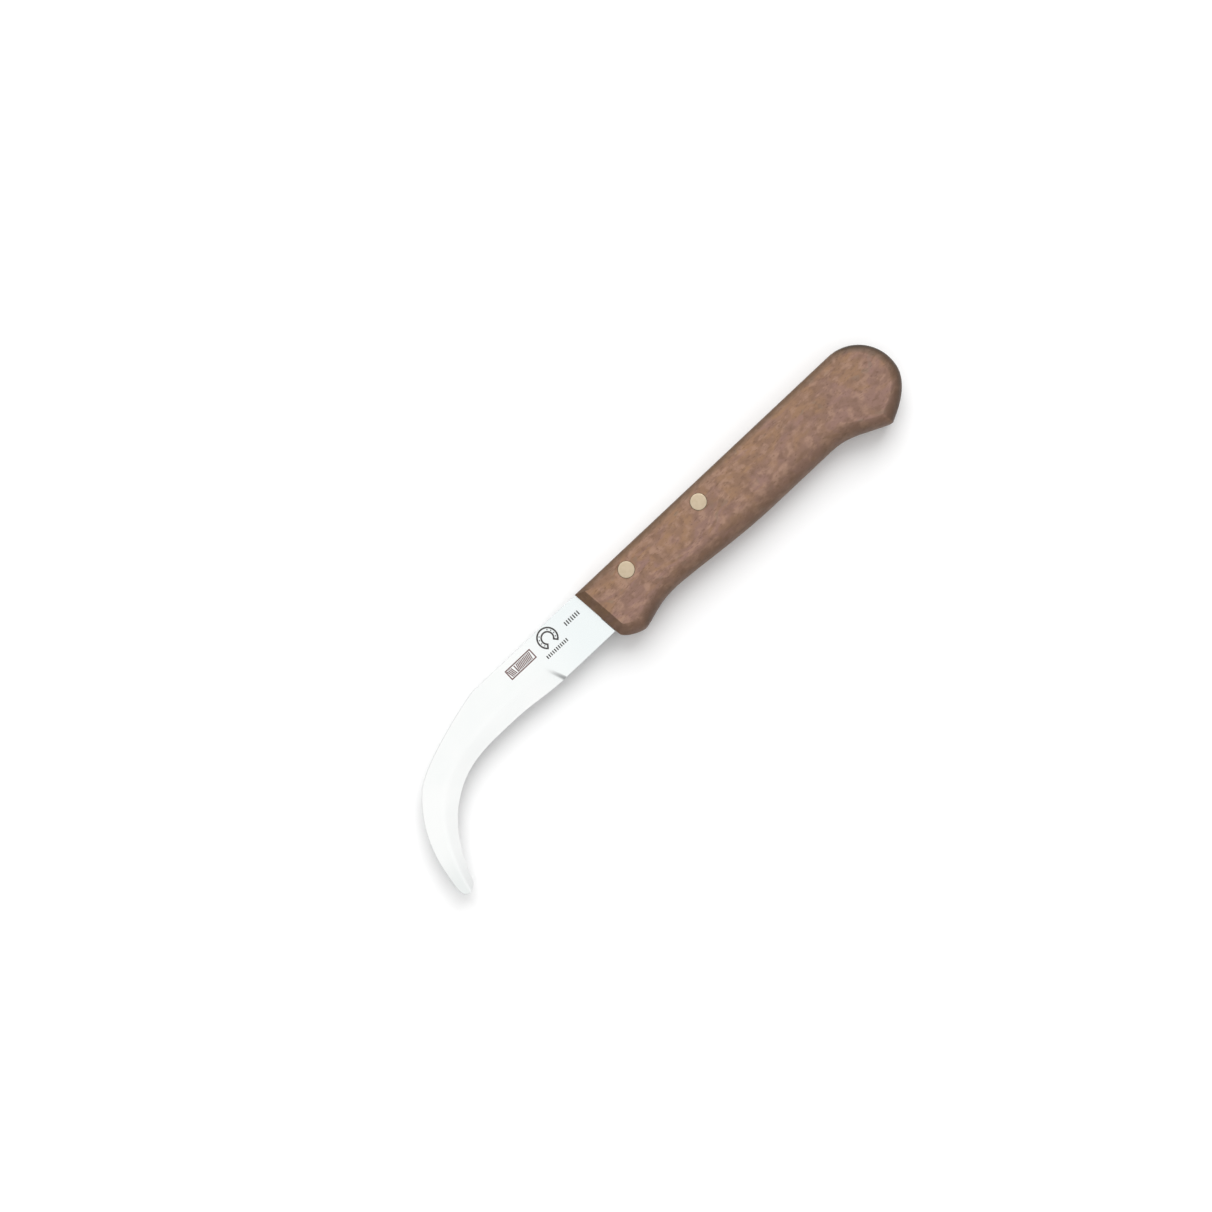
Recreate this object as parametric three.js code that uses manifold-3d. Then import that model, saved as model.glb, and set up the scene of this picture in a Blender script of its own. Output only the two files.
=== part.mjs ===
// Hoof knife: a fixed hooked blade, sharpened on its hollow side, set by a half tang
// in a saw slot of a one-piece wooden handle and held by two cutler's rivets.
//
// The knife lies on its side. +X runs from the hook to the butt of the handle,
// +Y from the cutting edge to the spine, and Z is the thickness. The outlines are
// drawn from the upper front corner of the handle. At the end the whole group is
// moved so that the origin is under the middle of the knife, on the surface.

import * as THREE from 'three';
import { mergeVertices } from 'three/addons/utils/BufferGeometryUtils.js';
import Module from 'manifold-3d';

// ---- Driving dimensions, in millimetres ----

const HANDLE_LENGTH = 114;
const HANDLE_THICKNESS = 13;
const FRONT_FACE_SLOPE = 0.1; // the handle's front face leans back by this much per mm down
const SPINE_ROUNDING = 2;
const BUTT_RADIUS = 13.1;

const BLADE_THICKNESS = 1.6;
const EDGE_THICKNESS = 0.3;
const RICASSO_WIDTH = 15.8;
const TANG_WIDTH = 10.3;
const TANG_LENGTH = 52.8;

const RIVET_X = { front: 15.9, rear: 44.6 };
const RIVET_BELOW_SPINE = 4.9;
const RIVET_HEAD_DIAMETER = 5;
const RIVET_HEAD_THICKNESS = 1.2;
const SLEEVE_DIAMETER = 3.2;
const SLEEVE_WALL = 0.4;
const SLEEVE_LENGTH = 9.6;
const PIN_LENGTH = 9;

const PLUNGE_LENGTH = 2.1; // the grind reaches its full depth over this length

const GAP = 0.3; // clearance between a piece and the one it is let into

const CURVE_STEPS = 12; // straight facets along one curved stretch
const ROUNDING_STEPS = 5; // facets across the rounding of a handle edge
const HOLE_SEGMENTS = 32;
const GRIND_STEPS = 40; // facets along the grind of the blade
const OVERCUT = 4; // how far a cutting solid reaches past what it cuts
const GRIND_OVERCUT = 0.5; // the same, past the cutting edge

const WOOD = new THREE.MeshStandardMaterial({ color: 0x9e7c69, roughness: 0.55, metalness: 0 });
const STEEL = new THREE.MeshStandardMaterial({ color: 0xeef2f2, roughness: 0.3, metalness: 0.9 });
const BRASS = new THREE.MeshStandardMaterial({ color: 0xd6c3a3, roughness: 0.4, metalness: 0.8 });

// ---- Solids ----

const wasm = await Module();
wasm.setup();

function toSolid(geometry) {
  const bare = geometry.clone();
  bare.deleteAttribute('normal');
  bare.deleteAttribute('uv');
  const merged = mergeVertices(bare);
  return new wasm.Manifold(new wasm.Mesh({
    numProp: 3,
    vertProperties: new Float32Array(merged.attributes.position.array),
    triVerts: new Uint32Array(merged.index.array),
  }));
}

function toGeometry(solid) {
  const { numProp, vertProperties, triVerts } = solid.getMesh();
  const geometry = new THREE.BufferGeometry();
  geometry.setAttribute('position', new THREE.BufferAttribute(vertProperties, numProp));
  geometry.setIndex(new THREE.BufferAttribute(triVerts, 1));
  geometry.computeVertexNormals();
  return geometry;
}

// A closed body through rings of points that run counter-clockwise, seen from the
// last ring. Both end rings are closed with the same triangles of point numbers.
function loft(rings, capTriangles) {
  const count = rings[0].length;
  const indices = [];
  for (let ring = 0; ring < rings.length - 1; ring += 1) {
    for (let i = 0; i < count; i += 1) {
      const next = (i + 1) % count;
      const low = ring * count;
      const high = low + count;
      indices.push(low + i, low + next, high + next);
      indices.push(low + i, high + next, high + i);
    }
  }
  const last = (rings.length - 1) * count;
  for (const [a, b, c] of capTriangles) {
    indices.push(a, c, b);
    indices.push(last + a, last + b, last + c);
  }
  const geometry = new THREE.BufferGeometry();
  const positions = rings.flat().flatMap((point) => point.toArray());
  geometry.setAttribute('position', new THREE.Float32BufferAttribute(positions, 3));
  geometry.setIndex(indices);
  return geometry;
}

// A flat outline given a thickness, centred on the middle plane of the knife.
function slab(shape, thickness) {
  const geometry = new THREE.ExtrudeGeometry(shape, {
    depth: thickness,
    bevelEnabled: false,
    curveSegments: CURVE_STEPS,
  });
  return geometry.translate(0, 0, (HANDLE_THICKNESS - thickness) / 2);
}

// A round cutter along Z, from z = low to z = high.
function drill(x, diameter, low, high) {
  const geometry = new THREE.CylinderGeometry(diameter / 2, diameter / 2, high - low, HOLE_SEGMENTS);
  geometry.rotateX(Math.PI / 2);
  return geometry.translate(x, -RIVET_BELOW_SPINE, (low + high) / 2);
}

// ---- Handle ----

// One stretch of the handle's edge: the silhouette, the border of the flat cheek
// beside it, how deep the rounding between them goes at both ends, and how much
// of that rounding is a plain chamfer, from 0 to 1, at both ends.
function stretch(silhouette, cheek, depth, chamfer, steps) {
  const points = [];
  for (let i = 0; i < steps; i += 1) {
    const t = i / steps;
    points.push({
      outer: silhouette.getPoint(t),
      inner: cheek.getPoint(t),
      depth: THREE.MathUtils.lerp(depth[0], depth[1], t),
      chamfer: THREE.MathUtils.lerp(chamfer[0], chamfer[1], t),
    });
  }
  return points;
}

function line(x0, y0, x1, y1) {
  return new THREE.LineCurve(new THREE.Vector2(x0, y0), new THREE.Vector2(x1, y1));
}

function bend(x0, y0, x1, y1, x2, y2, x3, y3) {
  const points = [[x0, y0], [x1, y1], [x2, y2], [x3, y3]];
  return new THREE.CubicBezierCurve(...points.map(([x, y]) => new THREE.Vector2(x, y)));
}

// The edge goes round the handle once: down the front face, under the finger lobe
// and the belly, out to the heel, round the butt and back along the spine.
function handleEdge() {
  const buttX = HANDLE_LENGTH - BUTT_RADIUS;
  const buttCheek = { x: 10.1, y: BUTT_RADIUS - SPINE_ROUNDING };
  const top = -SPINE_ROUNDING;
  const quarterTurn = Math.PI / 2;
  return [
    ...stretch(
      line(0, 0, 1.7, -16.9),
      line(2.9, -1.2, 4.35, -15.2),
      [2.2, 2.2], [1, 1], 1,
    ),
    ...stretch(
      bend(1.7, -16.9, 1.9, -19.1, 7.2, -21.3, 8.3, -21.3),
      bend(4.35, -15.2, 4.5, -16.4, 7.6, -17, 8.9, -17),
      [2.2, 4.2], [1, 0], CURVE_STEPS,
    ),
    ...stretch(
      bend(8.3, -21.3, 10.9, -21.3, 15.7, -18.5, 22.3, -18.5),
      bend(8.9, -17, 11.3, -17, 16.5, -13.7, 22.3, -13.7),
      [4.2, 4.8], [0, 0], CURVE_STEPS,
    ),
    ...stretch(
      bend(22.3, -18.5, 31, -18.5, 45, -20.8, 59.5, -20.8),
      bend(22.3, -13.7, 31, -13.7, 45, -14.4, 59.5, -14.4),
      [4.8, 5.2], [0, 0], CURVE_STEPS,
    ),
    ...stretch(
      line(59.5, -20.8, 82.8, -20.8),
      line(59.5, -14.4, 82.8, -14.8),
      [5.2, 5.2], [0, 0], 2,
    ),
    ...stretch(
      bend(82.8, -20.8, 90.1, -20.8, 93.1, -23.4, 101, -26.7),
      bend(82.8, -14.8, 90, -15, 92.6, -19.2, 100.2, -22.6),
      [5.2, 3.4], [0, 0.3], CURVE_STEPS,
    ),
    ...stretch(
      bend(101, -26.7, 101.4, -26.9, 101.7, -26.9, 102.1, -26.7),
      bend(100.2, -22.6, 100.5, -22.7, 100.9, -22.7, 101.2, -22.6),
      [3.4, 3.4], [0.3, 0.3], 4,
    ),
    ...stretch(
      bend(102.1, -26.7, 113.8, -21.4, HANDLE_LENGTH, -15.7, HANDLE_LENGTH, -BUTT_RADIUS),
      bend(101.2, -22.6, 109.6, -19.4, buttX + buttCheek.x, -15.4, buttX + buttCheek.x, -BUTT_RADIUS),
      [3.4, 3], [0.3, 0], CURVE_STEPS,
    ),
    ...stretch(
      new THREE.EllipseCurve(buttX, -BUTT_RADIUS, BUTT_RADIUS, BUTT_RADIUS, 0, quarterTurn),
      new THREE.EllipseCurve(buttX, -BUTT_RADIUS, buttCheek.x, buttCheek.y, 0, quarterTurn),
      [3, SPINE_ROUNDING], [0, 0], CURVE_STEPS,
    ),
    ...stretch(
      line(buttX, 0, 4, 0),
      line(buttX, top, 5, top),
      [SPINE_ROUNDING, SPINE_ROUNDING], [0, 0], 1,
    ),
    ...stretch(
      line(4, 0, 0, 0),
      line(5, top, 2.9, -1.2),
      [SPINE_ROUNDING, 2.2], [0, 1], 4,
    ),
  ];
}

// The ring of the handle's skin at one step of the rounding, from 0 on the
// silhouette to 1 on the cheek, above (side 1) or below (side -1) the middle.
function handleRing(edge, step, side) {
  const half = HANDLE_THICKNESS / 2;
  const angle = (step * Math.PI) / 2;
  return edge.map(({ outer, inner, depth, chamfer }) => {
    const inward = THREE.MathUtils.lerp(1 - Math.cos(angle), step, chamfer);
    const rise = THREE.MathUtils.lerp(Math.sin(angle), step, chamfer);
    const { x, y } = outer.clone().lerp(inner, inward);
    return new THREE.Vector3(x, y, half + side * (half - depth + depth * rise));
  });
}

function handleBlock() {
  const edge = handleEdge();
  const steps = Array.from({ length: ROUNDING_STEPS + 1 }, (_, i) => i / ROUNDING_STEPS);
  const below = steps.toReversed().map((step) => handleRing(edge, step, -1));
  const above = steps.map((step) => handleRing(edge, step, 1));
  const cheek = edge.map(({ inner }) => inner);
  return toSolid(loft([...below, ...above], THREE.ShapeUtils.triangulateShape(cheek, [])));
}

// The saw slot for the tang, open to the front face and to the spine.
function tangSlot() {
  const depth = TANG_WIDTH + GAP;
  const shape = new THREE.Shape();
  shape.moveTo(-OVERCUT, OVERCUT);
  shape.lineTo(-OVERCUT, -depth);
  shape.lineTo(TANG_LENGTH - TANG_WIDTH, -depth);
  shape.absarc(TANG_LENGTH - TANG_WIDTH, 0, depth, -Math.PI / 2, 0);
  shape.lineTo(TANG_LENGTH + GAP, OVERCUT);
  return toSolid(slab(shape, BLADE_THICKNESS + 2 * GAP));
}

// The stepped hole of one rivet: a through hole and a seat for each head.
function rivetHole(x) {
  const seat = RIVET_HEAD_THICKNESS + GAP;
  const headHole = RIVET_HEAD_DIAMETER + 2 * GAP;
  const through = drill(x, SLEEVE_DIAMETER + 2 * GAP, -OVERCUT, HANDLE_THICKNESS + OVERCUT);
  const lowSeat = drill(x, headHole, -OVERCUT, seat);
  const highSeat = drill(x, headHole, HANDLE_THICKNESS - seat, HANDLE_THICKNESS + OVERCUT);
  return toSolid(through).add(toSolid(lowSeat)).add(toSolid(highSeat));
}

function handleGeometry() {
  let solid = handleBlock().subtract(tangSlot());
  for (const x of Object.values(RIVET_X)) {
    solid = solid.subtract(rivetHole(x));
  }
  return toGeometry(solid);
}

// ---- Blade ----

const PLUNGE = { x: -17.7, y: -RICASSO_WIDTH }; // where the ground edge starts
const RUN_OUT_Y = -43.5; // the grinding wheel leaves the blade here, below the tip

// The cutting edge, on the hollow side of the hook, from the plunge to the round of the tip.
function cuttingEdge() {
  const path = new THREE.Path();
  path.moveTo(PLUNGE.x, PLUNGE.y);
  path.bezierCurveTo(-27, -15.7, -29.5, -14.5, -38.6, -14.5);
  path.bezierCurveTo(-49.4, -14.5, -57.4, -14.1, -66.6, -21.4);
  path.bezierCurveTo(-74.2, -27.4, -77.8, -37.8, -78.5, -39.9);
  return path;
}

// The rounded tip and the blunt back of the hook, as far as the back runs straight.
function hookBack() {
  const path = new THREE.Path();
  path.moveTo(-78.5, -39.9);
  path.bezierCurveTo(-79.3, -42.4, -83.9, -44.1, -83.6, -38.9);
  path.bezierCurveTo(-82.8, -31.5, -81.5, -20.8, -71.7, -11.2);
  path.bezierCurveTo(-66.1, -5.7, -42.7, 0, -40.7, 0);
  return path;
}

// The upper border of the grind, which runs out past the tip.
function grindLine() {
  const path = new THREE.Path();
  path.moveTo(-20.4, -8.8);
  path.bezierCurveTo(-34, -5.5, -57, -6.5, -69.3, -16);
  path.bezierCurveTo(-77, -24, -80.6, -34, -82, RUN_OUT_Y);
  return path;
}

// The half tang inside the handle: a shoulder against the front face, a straight
// lower side and a rounded end that follows the run-out of the saw slot.
function tangOutline() {
  const shoulderX = (y) => -FRONT_FACE_SLOPE * y - GAP;
  const path = new THREE.Path();
  path.moveTo(TANG_LENGTH, 0);
  path.absarc(TANG_LENGTH - TANG_WIDTH, 0, TANG_WIDTH, 0, -Math.PI / 2, true);
  path.lineTo(shoulderX(-TANG_WIDTH), -TANG_WIDTH);
  path.lineTo(shoulderX(PLUNGE.y), PLUNGE.y);
  return path;
}

// The blank as it is stamped from sheet: hook, parallel ricasso, half tang and holes.
function bladeBlank() {
  const sides = [cuttingEdge(), hookBack(), tangOutline()];
  const shape = new THREE.Shape(sides.flatMap((path) => path.getPoints(CURVE_STEPS)));
  for (const x of Object.values(RIVET_X)) {
    const hole = new THREE.Path();
    hole.absarc(x, -RIVET_BELOW_SPINE, SLEEVE_DIAMETER / 2 + GAP, 0, 2 * Math.PI);
    shape.holes.push(hole);
  }
  return toSolid(slab(shape, BLADE_THICKNESS));
}

// What the wheel grinds off one face: a long wedge from the grind line to the edge.
// It ramps down to its full depth along the plunge.
function grindWedge(side) {
  const edge = cuttingEdge().lineTo(-79.6, RUN_OUT_Y);
  const border = grindLine();
  const middle = HANDLE_THICKNESS / 2;
  const face = BLADE_THICKNESS / 2;
  const plunge = PLUNGE_LENGTH / edge.getLength();
  const rings = [];
  for (let i = 0; i <= GRIND_STEPS; i += 1) {
    const share = i === 0 ? 0 : plunge + ((1 - plunge) * (i - 1)) / (GRIND_STEPS - 1);
    const high = border.getPointAt(share);
    const low = edge.getPointAt(share);
    const reach = 1 + GRIND_OVERCUT / high.distanceTo(low);
    const past = high.clone().lerp(low, reach);
    const drop = i === 0 ? 0 : (face - EDGE_THICKNESS / 2) * reach;
    const section = [
      new THREE.Vector3(high.x, high.y, middle + side * face),
      new THREE.Vector3(past.x, past.y, middle + side * (face - drop)),
      new THREE.Vector3(past.x, past.y, middle + side * OVERCUT),
      new THREE.Vector3(high.x, high.y, middle + side * OVERCUT),
    ];
    rings.push(side > 0 ? section : section.toReversed());
  }
  return toSolid(loft(rings, [[0, 1, 2], [0, 2, 3]]));
}

function bladeGeometry() {
  return toGeometry(bladeBlank().subtract(grindWedge(1)).subtract(grindWedge(-1)));
}

// ---- Rivets ----

// A turned piece drawn as half its section, radius then height, standing on Z = 0.
function turned(profile) {
  const points = profile.map(([radius, height]) => new THREE.Vector2(radius, height));
  return new THREE.LatheGeometry(points, HOLE_SEGMENTS).rotateX(Math.PI / 2);
}

// The solid half of a cutler's rivet: a flat head and a pin.
function rivetPost() {
  const head = RIVET_HEAD_DIAMETER / 2;
  const pin = SLEEVE_DIAMETER / 2 - SLEEVE_WALL - GAP;
  return turned([
    [0, 0],
    [head, 0],
    [head, RIVET_HEAD_THICKNESS],
    [pin, RIVET_HEAD_THICKNESS],
    [pin, RIVET_HEAD_THICKNESS + PIN_LENGTH],
    [0, RIVET_HEAD_THICKNESS + PIN_LENGTH],
  ]);
}

// The hollow half: the same head with a sleeve that the pin is driven into.
function rivetSocket() {
  const head = RIVET_HEAD_DIAMETER / 2;
  const sleeve = SLEEVE_DIAMETER / 2;
  const bore = sleeve - SLEEVE_WALL;
  return turned([
    [0, 0],
    [head, 0],
    [head, RIVET_HEAD_THICKNESS],
    [sleeve, RIVET_HEAD_THICKNESS],
    [sleeve, RIVET_HEAD_THICKNESS + SLEEVE_LENGTH],
    [bore, RIVET_HEAD_THICKNESS + SLEEVE_LENGTH],
    [bore, RIVET_HEAD_THICKNESS],
    [0, RIVET_HEAD_THICKNESS],
  ]);
}

// ---- Assembly ----

function named(name, geometry, material) {
  const mesh = new THREE.Mesh(geometry, material);
  mesh.name = name;
  return mesh;
}

// Both halves of one rivet, flush with the cheeks: the socket from below, the post from above.
function rivet(place, x) {
  const group = new THREE.Group();
  const socket = named(`${place}_rivet_socket`, rivetSocket(), BRASS);
  const post = named(`${place}_rivet_post`, rivetPost(), BRASS);
  post.rotation.x = Math.PI;
  post.position.z = HANDLE_THICKNESS;
  group.add(socket, post);
  group.position.set(x, -RIVET_BELOW_SPINE, 0);
  return group;
}

const knife = new THREE.Group();
knife.add(named('handle', handleGeometry(), WOOD));
knife.add(named('blade', bladeGeometry(), STEEL));
for (const [place, x] of Object.entries(RIVET_X)) {
  knife.add(rivet(place, x));
}

const middle = new THREE.Box3().setFromObject(knife).getCenter(new THREE.Vector3());
knife.position.set(-middle.x, -middle.y, 0);

export default knife;
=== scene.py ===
import math

import bmesh
import bpy
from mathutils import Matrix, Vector


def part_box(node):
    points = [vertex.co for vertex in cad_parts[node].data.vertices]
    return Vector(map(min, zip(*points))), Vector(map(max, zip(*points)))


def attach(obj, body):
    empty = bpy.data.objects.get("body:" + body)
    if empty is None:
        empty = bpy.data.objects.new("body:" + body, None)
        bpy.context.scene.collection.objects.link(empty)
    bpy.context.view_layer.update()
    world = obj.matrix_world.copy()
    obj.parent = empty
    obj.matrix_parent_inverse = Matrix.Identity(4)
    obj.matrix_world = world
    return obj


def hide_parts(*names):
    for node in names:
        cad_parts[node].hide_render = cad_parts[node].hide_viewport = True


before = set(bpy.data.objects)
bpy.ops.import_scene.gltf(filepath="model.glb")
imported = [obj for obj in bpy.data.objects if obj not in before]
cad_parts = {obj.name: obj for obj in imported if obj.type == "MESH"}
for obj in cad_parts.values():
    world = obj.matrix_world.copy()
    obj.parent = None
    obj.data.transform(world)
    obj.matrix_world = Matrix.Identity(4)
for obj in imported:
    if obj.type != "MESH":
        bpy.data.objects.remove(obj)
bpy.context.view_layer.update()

# Hoof knife lying on its side: +X from the hook to the butt of the handle, +Y from the
# cutting edge to the spine, Z through the thickness. Outlines are drawn in millimetres
# from the upper front corner of the handle, as the knife is designed.

# ---- Sizes ----

MM = 0.001
HANDLE_LOW, HANDLE_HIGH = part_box("handle")
BLADE_LOW, BLADE_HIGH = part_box("blade")
RIVET_LOW, RIVET_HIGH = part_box("front_rivet_socket")
CORNER = Vector((HANDLE_LOW.x, HANDLE_HIGH.y, HANDLE_LOW.z))

HANDLE_LENGTH = (HANDLE_HIGH.x - HANDLE_LOW.x) / MM
HANDLE_THICKNESS = (HANDLE_HIGH.z - HANDLE_LOW.z) / MM
BLADE_THICKNESS = (BLADE_HIGH.z - BLADE_LOW.z) / MM
TANG_LENGTH = (BLADE_HIGH.x - HANDLE_LOW.x) / MM
MIDDLE = HANDLE_THICKNESS / 2

FRONT_FACE_SLOPE = 0.1  # the handle's front face leans back by this much per mm down
SPINE_ROUNDING = 2
BUTT_RADIUS = 13.1
RICASSO_WIDTH = 15.8
TANG_WIDTH = 10.3
EDGE_THICKNESS = 0.16
SLIT = 0.04  # hairline left between a piece and the one it is let into

RIVET_BELOW_SPINE = 4.9
RIVET_X = {
    place: (sum(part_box(f"{place}_rivet_socket"), Vector()).x / 2 - CORNER.x) / MM
    for place in ("front", "rear")
}
RIVET_HEAD_RADIUS = (RIVET_HIGH.x - RIVET_LOW.x) / 2 / MM
RIVET_HEAD_THICKNESS = 1.2
SLEEVE_RADIUS = 1.6
SLEEVE_BORE = 1.2
SLEEVE_LENGTH = 9.6
PIN_RADIUS = 0.9
PIN_LENGTH = 9
CROWN_RIM = 0.15  # rounding of the rivet head's rim
CROWN_FALL = 0.03  # how far the head's face falls away towards that rim

CURVE_STEPS = 40  # facets along one curved stretch
ROUNDING_STEPS = 12  # facets across the rounding of a handle edge
TURNED_SEGMENTS = 96
OVERCUT = 4  # how far a cutting solid reaches past what it cuts


# ---- Curves: each is a function from 0..1 to a point ----


def line(x0, y0, x1, y1):
    start, end = Vector((x0, y0)), Vector((x1, y1))
    return lambda t: start.lerp(end, t)


def bend(*numbers):
    """A cubic Bezier curve with these four control points, as x, y, x, y and so on."""
    a, b, c, d = [Vector(numbers[i : i + 2]) for i in range(0, 8, 2)]

    def point(t):
        s = 1 - t
        return a * s**3 + b * (3 * s * s * t) + c * (3 * s * t * t) + d * t**3

    return point


def arc(x, y, radius_x, radius_y, start, end):
    """Part of an ellipse about x, y, between two angles in degrees."""
    def point(t):
        angle = math.radians(start + (end - start) * t)
        return Vector((x + radius_x * math.cos(angle), y + radius_y * math.sin(angle)))

    return point


def sample(curves, steps=CURVE_STEPS):
    """Points along joined curves, the first of each only once."""
    points = [curve(i / steps) for curve in curves for i in range(steps)]
    return [*points, curves[-1](1)]


def spaced(curves, shares):
    """Points at these shares, 0 to 1, of the joined curves' length."""
    points = sample(curves)
    lengths = [0]
    for a, b in zip(points, points[1:]):
        lengths.append(lengths[-1] + (b - a).length)
    found = []
    place = 0
    for share in shares:
        target = share * lengths[-1]
        while place < len(points) - 2 and lengths[place + 1] < target:
            place += 1
        part = (target - lengths[place]) / (lengths[place + 1] - lengths[place])
        found.append(points[place].lerp(points[place + 1], part))
    return found


# ---- Meshes ----


def to_row(x, y, z):
    """A point of the drawn outlines, in millimetres, as a place in the scene."""
    return CORNER + Vector((x, y, z)) * MM


def new_object(name, bm):
    bmesh.ops.recalc_face_normals(bm, faces=bm.faces)
    mesh = bpy.data.meshes.new(name)
    bm.to_mesh(mesh)
    bm.free()
    obj = bpy.data.objects.new(name, mesh)
    bpy.context.scene.collection.objects.link(obj)
    return obj


def add_loft(bm, rings, closed=False):
    """A closed skin through rings of (x, y, z): a ring joined to itself, or flat end faces."""
    rows = [[bm.verts.new(to_row(*point)) for point in ring] for ring in rings]
    pairs = list(zip(rows, rows[1:]))
    if closed:
        pairs.append((rows[-1], rows[0]))
    else:
        bm.faces.new(rows[0])
        bm.faces.new(rows[-1])
    count = len(rows[0])
    for low, high in pairs:
        for i in range(count):
            j = (i + 1) % count
            bm.faces.new((low[i], low[j], high[j], high[i]))


def slab(name, points, thickness):
    """A flat outline given a thickness about the knife's middle plane."""
    bm = bmesh.new()
    levels = (MIDDLE - thickness / 2, MIDDLE + thickness / 2)
    add_loft(bm, [[(p.x, p.y, z) for p in points] for z in levels])
    return new_object(name, bm)


def turned(name, profile, x, flip=False):
    """A turned piece at a rivet's place. Its profile runs from the axis back to the axis,
    as (radius, height) from the lower cheek, or from the upper one when flipped."""
    bm = bmesh.new()
    turns = [2 * math.pi * i / TURNED_SEGMENTS for i in range(TURNED_SEGMENTS)]
    rows = []
    for radius, height in profile:
        z = HANDLE_THICKNESS - height if flip else height
        count = len(turns) if radius else 1
        rows.append([
            bm.verts.new(to_row(
                x + radius * math.cos(turn), radius * math.sin(turn) - RIVET_BELOW_SPINE, z,
            ))
            for turn in turns[:count]
        ])
    for low, high in zip(rows, rows[1:]):
        for i in range(TURNED_SEGMENTS):
            around = [(low, i), (low, i + 1), (high, i + 1), (high, i)]
            corners = dict.fromkeys(row[j % len(row)] for row, j in around)
            bm.faces.new(corners)
    return new_object(name, bm)


def settle(obj):
    """Makes the result of an object's modifiers its own mesh."""
    graph = bpy.context.evaluated_depsgraph_get()
    graph.update()
    mesh = bpy.data.meshes.new_from_object(obj.evaluated_get(graph))
    obj.modifiers.clear()
    obj.data = mesh


def cut(obj, *cutters):
    """Takes the cutters away from an object. Faces they leave keep the cutter's material."""
    for cutter in cutters:
        boolean = obj.modifiers.new("cut", "BOOLEAN")
        boolean.operation = "DIFFERENCE"
        boolean.solver = "MANIFOLD"
        boolean.material_mode = "TRANSFER"
        boolean.object = cutter
        settle(obj)
        bpy.data.objects.remove(cutter)


def soften(obj, width, angle):
    """Breaks every edge sharper than an angle with a small rounding."""
    bevel = obj.modifiers.new("soften", "BEVEL")
    bevel.width = width * MM
    bevel.segments = 3
    bevel.limit_method = "ANGLE"
    bevel.angle_limit = math.radians(angle)
    bevel.use_clamp_overlap = True
    settle(obj)


def smooth(obj, angle):
    """Shades an object smooth, except over edges sharper than an angle."""
    obj.data.shade_smooth()
    obj.data.set_sharp_from_angle(angle=math.radians(angle))
    normals = obj.modifiers.new("flats_stay_flat", "WEIGHTED_NORMAL")
    normals.keep_sharp = True
    normals.weight = 100


# ---- Handle ----


def stretch(silhouette, cheek, depth, chamfer=(0, 0), steps=CURVE_STEPS):
    """Points of one stretch of the handle's edge: silhouette, border of the flat cheek,
    depth of the rounding between them and the share of it that is a plain chamfer."""
    points = []
    for i in range(steps):
        t = i / steps
        points.append((
            silhouette(t),
            cheek(t),
            depth[0] + (depth[1] - depth[0]) * t,
            chamfer[0] + (chamfer[1] - chamfer[0]) * t,
        ))
    return points


def handle_edge():
    """Round the handle once: front face, finger lobe, belly, heel, butt and spine."""
    butt_x = HANDLE_LENGTH - BUTT_RADIUS
    rear = HANDLE_LENGTH
    flat_x, flat_y = 10.1, BUTT_RADIUS - SPINE_ROUNDING
    top = -SPINE_ROUNDING
    return [
        *stretch(
            line(0, 0, 1.7, -16.9),
            line(2.9, -1.2, 4.35, -15.2),
            (2.2, 2.2), (1, 1), steps=1,
        ),
        *stretch(
            bend(1.7, -16.9, 1.9, -19.1, 7.2, -21.3, 8.3, -21.3),
            bend(4.35, -15.2, 4.5, -16.4, 7.6, -17, 8.9, -17),
            (2.2, 4.2), (1, 0),
        ),
        *stretch(
            bend(8.3, -21.3, 10.9, -21.3, 15.7, -18.5, 22.3, -18.5),
            bend(8.9, -17, 11.3, -17, 16.5, -13.7, 22.3, -13.7),
            (4.2, 4.8),
        ),
        *stretch(
            bend(22.3, -18.5, 31, -18.5, 45, -20.8, 59.5, -20.8),
            bend(22.3, -13.7, 31, -13.7, 45, -14.4, 59.5, -14.4),
            (4.8, 5.2),
        ),
        *stretch(
            line(59.5, -20.8, 82.8, -20.8),
            line(59.5, -14.4, 82.8, -14.8),
            (5.2, 5.2), steps=4,
        ),
        *stretch(
            bend(82.8, -20.8, 90.1, -20.8, 93.1, -23.4, 101, -26.7),
            bend(82.8, -14.8, 90, -15, 92.6, -19.2, 100.2, -22.6),
            (5.2, 3.4), (0, 0.3),
        ),
        *stretch(
            bend(101, -26.7, 101.4, -26.9, 101.7, -26.9, 102.1, -26.7),
            bend(100.2, -22.6, 100.5, -22.7, 100.9, -22.7, 101.2, -22.6),
            (3.4, 3.4), (0.3, 0.3), steps=8,
        ),
        *stretch(
            bend(102.1, -26.7, 113.8, -21.4, rear, -15.7, rear, -BUTT_RADIUS),
            bend(101.2, -22.6, 109.6, -19.4, butt_x + flat_x, -15.4, butt_x + flat_x, -BUTT_RADIUS),
            (3.4, 3), (0.3, 0),
        ),
        *stretch(
            arc(butt_x, -BUTT_RADIUS, BUTT_RADIUS, BUTT_RADIUS, 0, 90),
            arc(butt_x, -BUTT_RADIUS, flat_x, flat_y, 0, 90),
            (3, SPINE_ROUNDING),
        ),
        *stretch(
            line(butt_x, 0, 4, 0),
            line(butt_x, top, 5, top),
            (SPINE_ROUNDING, SPINE_ROUNDING), steps=4,
        ),
        *stretch(
            line(4, 0, 0, 0),
            line(5, top, 2.9, -1.2),
            (SPINE_ROUNDING, 2.2), (0, 1), steps=8,
        ),
    ]


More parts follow.
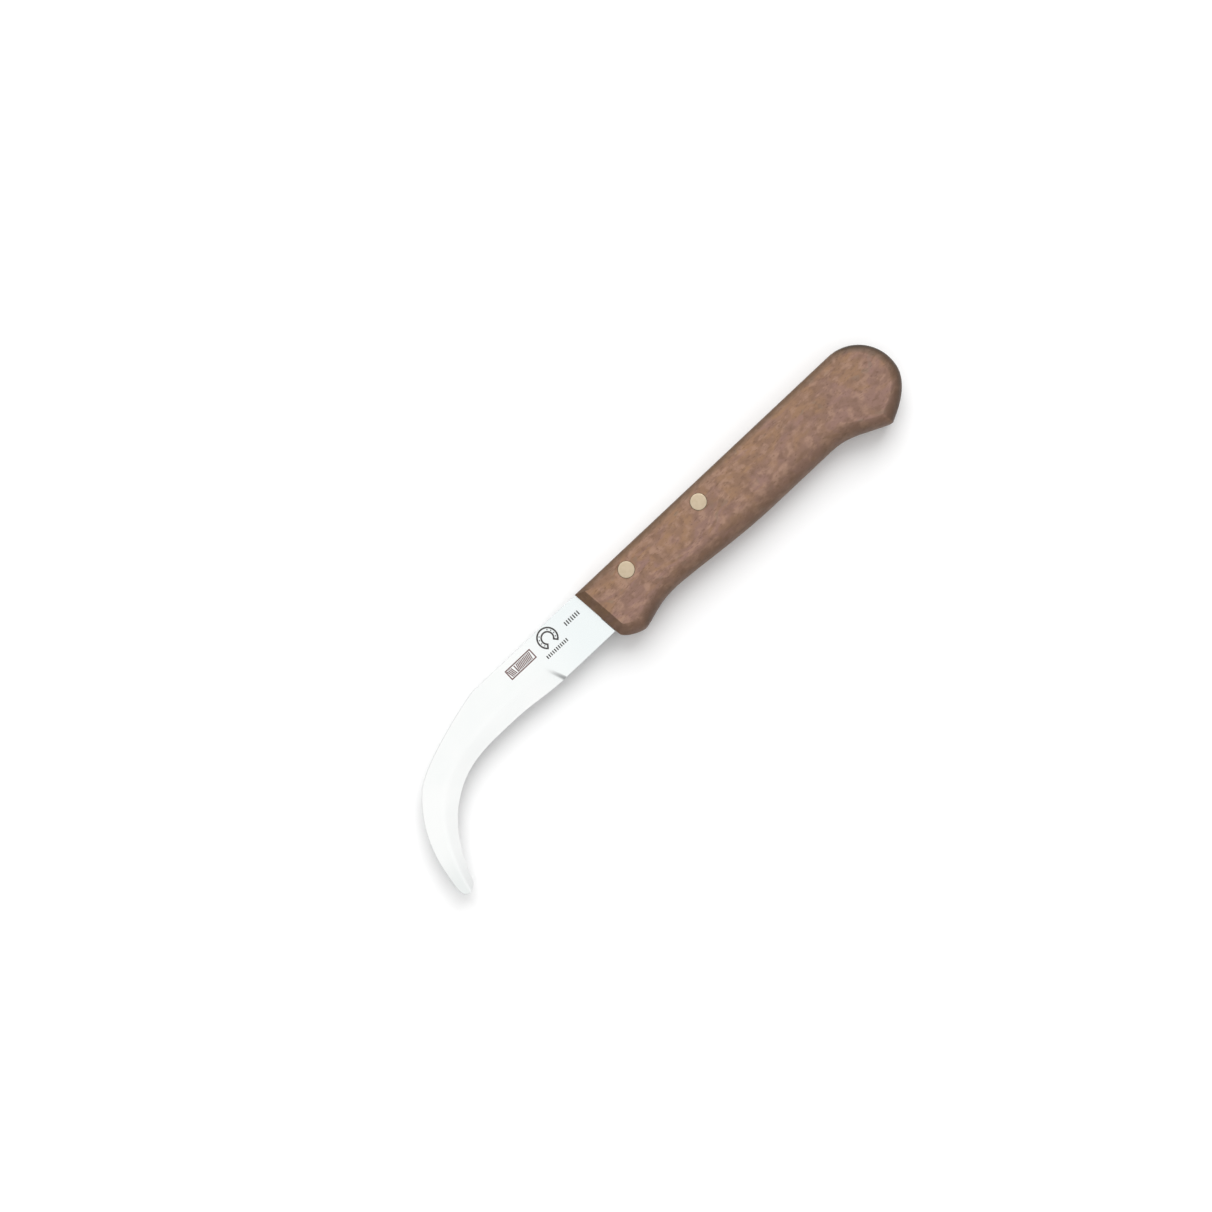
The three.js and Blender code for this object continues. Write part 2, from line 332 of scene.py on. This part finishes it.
def handle_ring(edge, step, side):
    """The skin's ring at one step of the rounding, above (side 1) or below the middle."""
    angle = step * math.pi / 2
    ring = []
    for outer, inner, depth, chamfer in edge:
        inward = (1 - math.cos(angle)) * (1 - chamfer) + step * chamfer
        rise = math.sin(angle) * (1 - chamfer) + step * chamfer
        x, y = outer.lerp(inner, inward)
        ring.append((x, y, MIDDLE + side * (MIDDLE - depth + depth * rise)))
    return ring


def handle_block():
    edge = handle_edge()
    steps = [i / ROUNDING_STEPS for i in range(ROUNDING_STEPS + 1)]
    below = [handle_ring(edge, step, -1) for step in reversed(steps)]
    above = [handle_ring(edge, step, 1) for step in steps]
    bm = bmesh.new()
    add_loft(bm, below + above)
    return new_object("knife_handle", bm)


def tang_slot():
    """The saw slot, open to the front face and to the spine."""
    depth = TANG_WIDTH + SLIT
    straight = TANG_LENGTH - TANG_WIDTH
    run_out = sample([arc(straight, 0, depth, depth, -90, 0)])
    corners = [Vector((-OVERCUT, OVERCUT)), Vector((-OVERCUT, -depth))]
    outline = [*corners, *run_out, Vector((TANG_LENGTH + SLIT, OVERCUT))]
    return slab("slot", outline, BLADE_THICKNESS + 2 * SLIT)


def rivet_hole(x):
    """The stepped hole of one rivet in the wood, with a seat for each head."""
    head = RIVET_HEAD_RADIUS + SLIT
    sleeve = SLEEVE_RADIUS + SLIT
    seat = RIVET_HEAD_THICKNESS + SLIT
    return turned("hole", [
        (0, -OVERCUT),
        (head, -OVERCUT),
        (head, seat),
        (sleeve, seat),
        (sleeve, HANDLE_THICKNESS - seat),
        (head, HANDLE_THICKNESS - seat),
        (head, HANDLE_THICKNESS + OVERCUT),
        (0, HANDLE_THICKNESS + OVERCUT),
    ], x)


def make_handle(material):
    handle = handle_block()
    soften(handle, width=0.3, angle=24)
    cut(handle, tang_slot(), *[rivet_hole(x) for x in RIVET_X.values()])
    handle.data.materials.clear()
    handle.data.materials.append(material)
    smooth(handle, angle=30)
    return handle


# ---- Blade ----

RUN_OUT_Y = -43.5  # the grinding wheel leaves the blade here, below the tip
HOOK_CENTRE = Vector((-50, -42))  # the middle of the hollow that the hook bends round
GRIND_RAMP = 2.1  # the grind reaches its full depth over this length
GRIND_SOFTNESS = 0.3  # share of the grind's width over which it leaves the flat
GRIND_LENGTH = 87  # measured along the cutting edge
GRIND_OVERCUT = 0.5  # how far the grinding cut reaches past the cutting edge

ETCH_DEPTH = 0.03
ETCH_LINE = 0.38  # width of an engraved line
HATCH_LINE = 0.32  # width, spacing and slant of the hatching in the plate
HATCH_PITCH = 0.5
HATCH_SLANT = 0.5
EMBLEM_X = -14.4  # the horseshoe and the row of ticks below it share this middle


def cutting_edge():
    """The sharp hollow side, from the plunge at the ricasso to the tip."""
    return [
        bend(-17.7, -RICASSO_WIDTH, -27, -15.7, -29.5, -14.5, -38.6, -14.5),
        bend(-38.6, -14.5, -49.4, -14.5, -57.4, -14.1, -66.6, -21.4),
        bend(-66.6, -21.4, -74.2, -27.4, -77.8, -37.8, -78.5, -39.9),
    ]


def hook_back():
    """The rounded tip and the blunt back of the hook."""
    return [
        bend(-78.5, -39.9, -79.3, -42.4, -83.9, -44.1, -83.6, -38.9),
        bend(-83.6, -38.9, -82.8, -31.5, -81.5, -20.8, -71.7, -11.2),
        bend(-71.7, -11.2, -66.1, -5.7, -42.7, 0, -40.7, 0),
    ]


def grind_line():
    """The border between the flat of the blade and its ground face."""
    return [
        bend(-20.4, -8.8, -34, -5.5, -57, -6.5, -69.3, -16),
        bend(-69.3, -16, -77, -24, -80.6, -34, -82, RUN_OUT_Y),
    ]


def blade_blank():
    """The blade as stamped out of sheet, tang and all, before it is ground."""
    shoulder = FRONT_FACE_SLOPE * TANG_WIDTH - SLIT
    lower_shoulder = FRONT_FACE_SLOPE * RICASSO_WIDTH - SLIT
    straight = TANG_LENGTH - TANG_WIDTH
    tang = sample([arc(straight, 0, TANG_WIDTH, TANG_WIDTH, 0, -90)])
    corners = [
        Vector((shoulder, -TANG_WIDTH)),
        Vector((lower_shoulder, -RICASSO_WIDTH)),
    ]
    outline = sample([*cutting_edge(), *hook_back()]) + tang + corners
    return slab("knife_blade", outline, BLADE_THICKNESS)


def grind_depth(share):
    """How much of the full depth is ground away at this share of the way to the edge."""
    a = GRIND_SOFTNESS
    depth = share * share / (2 * a) if share < a else share - a / 2
    return depth / (1 - a / 2)


def grind_wedge(side, material):
    """What the wheel grinds off one face, from a ramp at the plunge out past the tip."""
    edge = [*cutting_edge(), line(-78.5, -39.9, -79.6, RUN_OUT_Y)]
    ramp_steps, steps, across = 8, 160, 8
    ramp = GRIND_RAMP / GRIND_LENGTH
    shares = [ramp * i / ramp_steps for i in range(ramp_steps)]
    shares += [ramp + (1 - ramp) * i / steps for i in range(steps + 1)]
    drop = (BLADE_THICKNESS - EDGE_THICKNESS) / 2
    face = BLADE_THICKNESS / 2
    rings = []
    for share, high, low in zip(shares, spaced(grind_line(), shares), spaced(edge, shares)):
        reach = 1 + GRIND_OVERCUT / (low - high).length
        t = min(1, share / ramp)
        depth = drop * t * t * (3 - 2 * t)
        ring = []
        for part in [*[i / across for i in range(across + 1)], reach]:
            x, y = high.lerp(low, part)
            ring.append((x, y, MIDDLE + side * (face - depth * grind_depth(part))))
        x, y = high.lerp(low, reach)
        ring.append((x, y, MIDDLE + side * OVERCUT))
        ring.append((high.x, high.y, MIDDLE + side * OVERCUT))
        rings.append(ring)
    bm = bmesh.new()
    add_loft(bm, rings)
    wedge = new_object("grind", bm)
    wedge.data.materials.append(material)
    return wedge


def add_stroke(bm, points, closed=False, width=ETCH_LINE):
    """A cutter for a shallow groove along a line on the upper face."""
    low = MIDDLE + BLADE_THICKNESS / 2 - ETCH_DEPTH
    high = low + 1
    count = len(points)
    rings = []
    for i, point in enumerate(points):
        before = points[i - 1] if closed or i > 0 else None
        after = points[(i + 1) % count] if closed or i < count - 1 else None
        first = (point - before).normalized() if before else (after - point).normalized()
        last = (after - point).normalized() if after else first
        along = (first + last).normalized()
        across = Vector((-along.y, along.x)) * (width / 2 / along.dot(first))
        left, right = point + across, point - across
        rings.append([
            (left.x, left.y, low),
            (right.x, right.y, low),
            (right.x, right.y, high),
            (left.x, left.y, high),
        ])
    add_loft(bm, rings, closed)


def etching(name, strokes, material):
    """A cutter made of strokes, each the points and settings that add_stroke takes."""
    bm = bmesh.new()
    for stroke in strokes:
        add_stroke(bm, *stroke)
    cutter = new_object(name, bm)
    cutter.data.materials.append(material)
    return cutter


def hatch(left, right, low, high, slant):
    """Slanting lines that fill a box."""
    strokes = []
    start = left + max(-slant, 0)
    while start + max(slant, 0) < right:
        ends = [Vector((start, low)), Vector((start + slant, high))]
        strokes.append((ends, False, HATCH_LINE))
        start += HATCH_PITCH
    return strokes


def hatched_plate(x, y, width, height):
    """A framed bar in two parts, each filled with lines that slant its own way."""
    left, right = x - width / 2, x + width / 2
    low, high = y - height / 2, y + height / 2
    parting, inset = left + height, 0.35
    corners = [(left, low), (right, low), (right, high), (left, high)]
    return [
        ([Vector(corner) for corner in corners], True),
        ([Vector((parting, low + inset)), Vector((parting, high - inset))], False),
        *hatch(left + inset, parting - inset, low + inset, high - inset, -HATCH_SLANT),
        *hatch(parting + inset, right - inset, low + inset, high - inset, HATCH_SLANT),
    ]


def horseshoe(x, y, radius):
    """A horseshoe, open towards the cutting edge, with its nail holes."""
    web = 0.4  # the shoe's width, as a share of its radius
    hollow = radius * (1 - web)
    heels = (-50, 230)
    outer = sample([arc(x, y, radius, radius, *heels)], 48)
    inner = sample([arc(x, y, hollow, hollow, *reversed(heels))], 48)
    strokes = [(outer + inner, True, 0.5)]
    nail_ring = radius * (1 - web / 2)
    for angle in (-28, -2, 24, 50, 130, 156, 182, 208):
        turn = math.radians(angle)
        out = Vector((math.cos(turn), math.sin(turn)))
        middle = Vector((x, y)) + out * nail_ring
        half_nail = out * 0.16
        strokes.append(([middle - half_nail, middle + half_nail], False))
    return strokes


def tick_row(x, y, count, pitch, height):
    """A row of upright ticks about a middle."""
    strokes = []
    for i in range(count):
        place = x + (i - (count - 1) / 2) * pitch
        ends = [Vector((place, y - height / 2)), Vector((place, y + height / 2))]
        strokes.append((ends, False))
    return strokes


def tang_hole(x):
    """The plain hole in the tang that a rivet's sleeve passes through."""
    return turned("hole", [
        (0, -OVERCUT),
        (SLEEVE_RADIUS + SLIT, -OVERCUT),
        (SLEEVE_RADIUS + SLIT, HANDLE_THICKNESS + OVERCUT),
        (0, HANDLE_THICKNESS + OVERCUT),
    ], x)


def make_blade(steel, ground, etch, etch_warm):
    blade = blade_blank()
    blade.data.materials.append(steel)
    soften(blade, width=0.14, angle=30)
    cut(blade, grind_wedge(1, ground), grind_wedge(-1, ground))
    cut(blade, *[tang_hole(x) for x in RIVET_X.values()])
    lines = [
        *horseshoe(EMBLEM_X, -3.65, radius=3.05),
        *tick_row(EMBLEM_X, -7.85, count=11, pitch=0.76, height=1.1),
        *tick_row(-5.3, -4.3, count=7, pitch=0.82, height=1.4),
    ]
    plate = hatched_plate(-25.35, -3.95, width=9.5, height=3)
    cut(blade, etching("etched_lines", lines, etch))
    cut(blade, etching("etched_plate", plate, etch_warm))
    smooth(blade, angle=12)
    return blade


# ---- Rivets ----


def rivet_crown():
    """The profile of a rivet head, from the middle of its face to the back of its rim."""
    face = RIVET_HEAD_RADIUS - CROWN_RIM
    steps = 8
    crown = [(face * i / steps, CROWN_FALL * (i / steps) ** 2) for i in range(steps)]
    rim = arc(face, CROWN_FALL + CROWN_RIM, CROWN_RIM, CROWN_RIM, -90, 0)
    crown += [(point.x, point.y) for point in sample([rim], 5)]
    return [*crown, (RIVET_HEAD_RADIUS, RIVET_HEAD_THICKNESS)]


def make_rivets(material):
    """Both halves of each cutler's rivet: the sleeve from below, the pin from above."""
    crown, thick = rivet_crown(), RIVET_HEAD_THICKNESS
    socket = [
        *crown,
        (SLEEVE_RADIUS, thick),
        (SLEEVE_RADIUS, thick + SLEEVE_LENGTH),
        (SLEEVE_BORE, thick + SLEEVE_LENGTH),
        (SLEEVE_BORE, thick),
        (0, thick),
    ]
    post = [
        *crown,
        (PIN_RADIUS, thick),
        (PIN_RADIUS, thick + PIN_LENGTH),
        (0, thick + PIN_LENGTH),
    ]
    rivets = {}
    for place, x in RIVET_X.items():
        rivets[f"{place}_rivet_socket"] = turned(f"{place}_rivet_sleeve", socket, x)
        rivets[f"{place}_rivet_post"] = turned(f"{place}_rivet_pin", post, x, flip=True)
    for rivet in rivets.values():
        rivet.data.materials.append(material)
        smooth(rivet, angle=30)
    return rivets


# ---- Materials ----


class Nodes:
    """Adds nodes to a new material, with sockets set or linked by name."""

    def __init__(self, name):
        self.material = bpy.data.materials.new(name)
        self.material.use_nodes = True
        self.tree = self.material.node_tree
        self.shader = self.tree.nodes["Principled BSDF"]

    def put(self, socket, value):
        if isinstance(value, bpy.types.NodeSocket):
            self.tree.links.new(value, socket)
        else:
            socket.default_value = value

    def add(self, kind, *inputs, output=0, **settings):
        node = self.tree.nodes.new(kind)
        named = {}
        for key, value in settings.items():
            if hasattr(node, key):
                setattr(node, key, value)
            else:
                named[key] = value
        for i, value in enumerate(inputs):
            if value is not None:
                self.put(node.inputs[i], value)
        for key, value in named.items():
            self.put(node.inputs[key.replace("_", " ")], value)
        return node.outputs[output]

    def math(self, operation, *inputs):
        return self.add("ShaderNodeMath", *inputs, operation=operation)

    def vector(self, operation, *inputs, output=0):
        return self.add("ShaderNodeVectorMath", *inputs, operation=operation, output=output)

    def axes(self, vector):
        """The x, y and z of a vector, as three sockets."""
        node = self.tree.nodes.new("ShaderNodeSeparateXYZ")
        self.put(node.inputs[0], vector)
        return tuple(node.outputs)

    def ramp(self, value, low, high, to_low=0.0, to_high=1.0):
        """A value turned smoothly from one range into another, and held at its ends."""
        return self.add(
            "ShaderNodeMapRange", value, low, high, to_low, to_high,
            interpolation_type="SMOOTHSTEP",
        )

    def noise(self, place, detail=2.0, roughness=0.5):
        return self.add(
            "ShaderNodeTexNoise", place, Scale=1.0, Detail=detail, Roughness=roughness,
        )

    def mix(self, share, a, b):
        node = self.tree.nodes.new("ShaderNodeMix")
        node.data_type = "RGBA"
        self.put(node.inputs["Factor"], share)
        self.put(node.inputs[6], a)
        self.put(node.inputs[7], b)
        return node.outputs[2]

    def tint(self, colour, patch, strength, tone):
        """A colour moved towards an sRGB tone where a patch is high."""
        return self.mix(self.math("MULTIPLY", patch, strength), colour, srgb(*tone))

    def place(self, x_size, y_size, z_size, offset=(0, 0, 0)):
        """Object coordinates counted in cells of this size, in millimetres."""
        where = self.add("ShaderNodeTexCoord", output=3)
        cells = [1 / (size * MM) for size in (x_size, y_size, z_size)]
        scaled = self.vector("MULTIPLY", where, cells)
        return self.vector("ADD", scaled, offset)

    def bump(self, height, depth):
        """A bump of this depth in millimetres over a height from 0 to 1."""
        node = self.tree.nodes.new("ShaderNodeBump")
        node.inputs["Distance"].default_value = depth * MM
        self.put(node.inputs["Height"], height)
        return node.outputs[0]

    def finish(self, **inputs):
        """Sets or links the shader's inputs, and gives the finished material."""
        for key, value in inputs.items():
            self.put(self.shader.inputs[key.replace("_", " ")], value)
        return self.material


def srgb(red, green, blue):
    """A colour given as 0..255 sRGB values, as the shader's linear RGBA."""
    def linear(value):
        value /= 255
        return value / 12.92 if value < 0.04045 else ((value + 0.055) / 1.055) ** 2.4
    return (linear(red), linear(green), linear(blue), 1)


def wood_material():
    """Oiled brown hardwood: wide soft bands, mottling, short pores, darker end grain, and painted
    shade on the rounded edges and the end grain.
    """
    nodes = Nodes("oiled_hardwood")
    drift = nodes.noise(nodes.place(26, 9, 9), detail=2)
    wander = nodes.vector("MULTIPLY", nodes.vector("SUBTRACT", drift, (0.5, 0.5, 0.5)), (0, 3, 3))

    def grain(x_size, y_size, detail=2.0, offset=0.0):
        """Noise in cells of these sizes in millimetres, wandering a little across the grain."""
        cells = nodes.place(x_size, y_size, y_size, (offset, offset, offset))
        return nodes.noise(nodes.vector("ADD", cells, wander), detail=detail)

    # Two woods, pinker and browner, which meet along a wavering line on the spine's side.
    _, across, _ = nodes.axes(nodes.place(1, 1, 1))
    waver = nodes.math("MULTIPLY", grain(9, 5, detail=3, offset=7.0), 60)
    heart = nodes.ramp(nodes.math("ADD", across, waver), 36, 48)
    colour = nodes.mix(heart, srgb(139, 107, 97), srgb(146, 112, 84))

    # Each layer: patches of the grain that stand out over a limit, their strength and tone.
    band = nodes.ramp(grain(50, 2.4, detail=3, offset=3.0), 0.3, 0.7)
    colour = nodes.tint(colour, band, 0.3, (124, 95, 78))
    spot = nodes.ramp(grain(4, 3, detail=1, offset=17.0), 0.64, 0.72)
    colour = nodes.tint(colour, spot, 0.5, (128, 110, 94))
    cloud = nodes.ramp(grain(5, 4, detail=2, offset=13.0), 0.36, 0.62)
    colour = nodes.tint(colour, cloud, 0.6, (121, 92, 76))
    light = nodes.ramp(grain(3.2, 2.2, detail=3, offset=5.0), 0.46, 0.68)
    colour = nodes.tint(colour, light, 0.75, (158, 125, 106))
    dark = nodes.ramp(grain(2.4, 1.6, detail=3, offset=9.0), 0.48, 0.72)
    colour = nodes.tint(colour, dark, 0.6, (112, 83, 66))
    fibre = nodes.ramp(grain(3, 0.35, detail=2), 0.3, 0.7)
    colour = nodes.tint(colour, fibre, 0.16, (122, 93, 76))
    pore = nodes.ramp(grain(1.2, 0.3, detail=1, offset=11.0), 0.6, 0.74)
    colour = nodes.tint(colour, pore, 0.35, (86, 62, 48))

    # End grain, where the surface faces along the handle: darker as end grain is, with painted
    # shade on the front bevel and the butt's rim as well.
    facing_x, facing_y, facing_z = nodes.axes(nodes.add("ShaderNodeTexCoord", output=1))
    end_grain_and_shade = nodes.ramp(nodes.math("ABSOLUTE", facing_x), 0.3, 0.8)
    colour = nodes.tint(colour, end_grain_and_shade, 0.2, (88, 62, 47))

    # Rounded edges: painted shade, a browner and darker rim where the surface turns away from the
    # top, darker still towards the butt and the spine, the sides that face the key light.
    turn = nodes.math("SUBTRACT", 1.0, nodes.math("ABSOLUTE", facing_z))
    edge = nodes.math("POWER", nodes.math("MINIMUM", nodes.math("DIVIDE", turn, 0.4), 1.0), 0.3)
    colour = nodes.tint(colour, edge, 0.35, (128, 101, 74))
    # Painted shade: how much darker the rim gets, by which way it faces.
    square = nodes.math("MULTIPLY", facing_z, facing_z)
    lean = nodes.math("SQRT", nodes.math("SUBTRACT", 1.0, square))
    buttward = nodes.ramp(nodes.math("DIVIDE", facing_x, lean), 0, 0.5, 0, 0.36)
    spineward = nodes.ramp(nodes.math("DIVIDE", facing_y, lean), -1, 1, 0.3, 0.56)
    edge_shade_share = nodes.math("ADD", buttward, spineward)
    colour = nodes.tint(colour, edge, edge_shade_share, (36, 25, 12))

    relief = nodes.math("SUBTRACT", nodes.math("MULTIPLY", fibre, 0.3), pore)
    rough = nodes.math("MULTIPLY_ADD", pore, 0.2, 0.5)
    return nodes.finish(
        Base_Color=colour,
        Roughness=rough,
        Specular_IOR_Level=0.3,
        Normal=nodes.bump(relief, 0.03),
    )


def steel_material(name, lines, ground=0.0):
    """Satin steel with fine lines, drawn at the place that lines gives. A ground face is
    brighter by a share of painted light, which grows from the border of the grind and towards the
    tip."""
    nodes = Nodes(name)
    scratch = nodes.noise(lines(nodes), detail=3, roughness=0.6)
    cloud = nodes.noise(nodes.place(14, 9, 9), detail=2)
    tone = nodes.mix(nodes.ramp(cloud, 0.3, 0.7), srgb(222, 223, 222), srgb(219, 221, 220))

    # Cooler towards the ricasso and darker towards the tip.
    x, y, z = nodes.axes(nodes.place(1, 1, 1))
    tone = nodes.mix(nodes.ramp(x, -45, -20), tone, srgb(213, 218, 218))
    tone = nodes.mix(nodes.ramp(y, -6, -18), tone, srgb(209, 212, 211))

    # Painted light: ground faces are lightened with their depth below the flat, against the darker
    # sky that their tilt reflects.
    height = nodes.math("ABSOLUTE", nodes.math("SUBTRACT", z, MIDDLE))
    depth = nodes.ramp(nodes.math("SUBTRACT", BLADE_THICKNESS / 2, height), 0.0, 0.13)
    share = nodes.ramp(y, -20, 0, 3.5 * ground, ground)
    tone = nodes.tint(tone, nodes.math("SQRT", depth), share, (255, 255, 255))
    rough = nodes.add("ShaderNodeMapRange", scratch, 0.3, 0.7, 0.13, 0.2)
    return nodes.finish(
        Base_Color=tone,
        Metallic=1.0,
        Roughness=rough,
        Normal=nodes.bump(scratch, 0.0012),
    )


def lengthwise(nodes):
    """Lines along the blade."""
    return nodes.place(7, 0.06, 0.06)


def round_the_hook(nodes):
    """Lines that cross the cutting edge, turning with it round the hollow of the hook."""
    centre = to_row(HOOK_CENTRE.x, HOOK_CENTRE.y, 0)
    where = nodes.vector("SUBTRACT", nodes.add("ShaderNodeTexCoord", output=3), centre)
    x, y, _ = nodes.axes(where)
    turn = nodes.math("ARCTAN2", y, x)
    reach = nodes.vector("LENGTH", where, output=1)
    radius, line_width, line_length = 30, 0.07, 6
    return nodes.add(
        "ShaderNodeCombineXYZ",
        nodes.math("MULTIPLY", turn, radius / line_width),
        nodes.math("MULTIPLY", reach, 1 / (line_length * MM)),
    )


def brass_material():
    """Pale brass, ground flush, with fine lines and a little tarnish."""
    nodes = Nodes("pale_brass")
    scratch = nodes.noise(nodes.place(1.5, 0.05, 0.5), detail=2)
    tarnish = nodes.ramp(nodes.noise(nodes.place(1.3, 1.3, 1.3), detail=2), 0.35, 0.7)
    colour = nodes.tint(srgb(182, 167, 144), tarnish, 0.35, (167, 152, 127))
    return nodes.finish(
        Base_Color=colour,
        Metallic=1.0,
        Roughness=nodes.add("ShaderNodeMapRange", scratch, 0.3, 0.7, 0.36, 0.48),
        Normal=nodes.bump(scratch, 0.0012),
    )


def etch_material(name, colour):
    """The dark floor of an engraved line, worn lighter in places."""
    nodes = Nodes(name)
    worn = nodes.noise(nodes.place(0.5, 0.5, 0.5), detail=2)
    tone = nodes.mix(nodes.ramp(worn, 0.35, 0.75, 0.0, 0.5), srgb(*colour), srgb(120, 116, 114))
    return nodes.finish(Base_Color=tone, Metallic=0.4, Roughness=0.65)


# ---- Stage ----

FLOOR_HALF = 6  # in metres, as are the floor's other sizes
FLOOR_GAP = 0.0001  # between the knife and the floor, so that no faces share a plane
FLOOR_TONE = (0.91, 0.91, 0.91, 1)
FRAME_WIDTH = 353.4  # the width of the view at the knife
LENS, SENSOR = 100, 36
VIEW_CENTRE = (4.42, -8.55)
VIEW_TURN = -43.24  # the knife points down to the left, in degrees
ZENITH, HORIZON = 1.35, 0.37  # how bright the sky dome is overhead and at its rim
SKY_GATHER = 3  # how quickly it dims away from the zenith
KEY_ELEVATION, KEY_AZIMUTH = 42, 46.8  # from +X towards +Y, in degrees
KEY_SPREAD, KEY_STRENGTH = 60, 2.3  # the angle that the key light fills, and its power


def make_floor():
    bm = bmesh.new()
    corners = [(-1, -1), (1, -1), (1, 1), (-1, 1)]
    bm.faces.new([bm.verts.new((x * FLOOR_HALF, y * FLOOR_HALF, -FLOOR_GAP)) for x, y in corners])
    floor = new_object("floor", bm)
    nodes = Nodes("floor_white")
    floor.data.materials.append(nodes.finish(Base_Color=FLOOR_TONE, Roughness=0.9))


def make_camera():
    """Looks straight down at the knife."""
    camera = bpy.data.objects.new("camera", bpy.data.cameras.new("camera"))
    bpy.context.scene.collection.objects.link(camera)
    camera.data.lens = LENS
    camera.data.sensor_width = SENSOR
    distance = FRAME_WIDTH * LENS / SENSOR
    camera.location = to_row(*VIEW_CENTRE, MIDDLE + distance)
    camera.rotation_euler = (0, 0, math.radians(VIEW_TURN))
    bpy.context.scene.camera = camera


def make_lights():
    """A sky dome, brightest overhead, and one broad key light."""
    world = bpy.data.worlds.new("studio")
    bpy.context.scene.world = world
    world.use_nodes = True
    tree = world.node_tree
    where = tree.nodes.new("ShaderNodeTexCoord")
    parts = tree.nodes.new("ShaderNodeSeparateXYZ")
    gathered = tree.nodes.new("ShaderNodeMath")
    gathered.operation = "POWER"
    gathered.inputs[1].default_value = SKY_GATHER
    level = tree.nodes.new("ShaderNodeMapRange")
    level.inputs["To Min"].default_value = HORIZON
    level.inputs["To Max"].default_value = ZENITH
    tree.links.new(where.outputs["Generated"], parts.inputs[0])
    tree.links.new(parts.outputs["Z"], gathered.inputs[0])
    tree.links.new(gathered.outputs[0], level.inputs["Value"])
    tree.links.new(level.outputs[0], tree.nodes["Background"].inputs["Strength"])
    tree.nodes["Background"].inputs["Color"].default_value = (1, 1, 1, 1)

    lamp = bpy.data.lights.new("key", "SUN")
    lamp.angle = math.radians(KEY_SPREAD)
    lamp.energy = KEY_STRENGTH
    key = bpy.data.objects.new("key", lamp)
    bpy.context.scene.collection.objects.link(key)
    elevation, azimuth = math.radians(KEY_ELEVATION), math.radians(KEY_AZIMUTH)
    away = Vector((
        math.cos(elevation) * math.cos(azimuth),
        math.cos(elevation) * math.sin(azimuth),
        math.sin(elevation),
    ))
    key.rotation_euler = away.to_track_quat("Z", "Y").to_euler()
    bpy.context.scene.view_settings.view_transform = "Standard"


# ---- Scene ----

make_camera()
make_lights()
make_floor()

wood = wood_material()
steel = steel_material("satin_steel", lengthwise)
ground = steel_material("ground_steel", round_the_hook, ground=0.12)
etch = etch_material("etched_dark", (52, 50, 49))
etch_warm = etch_material("etched_warm", (110, 78, 76))
brass = brass_material()

handle = make_handle(wood)
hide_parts("handle")
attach(handle, "root")

blade = make_blade(steel, ground, etch, etch_warm)
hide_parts("blade")
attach(blade, "root")

for node, rivet in make_rivets(brass).items():
    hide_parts(node)
    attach(rivet, "root")
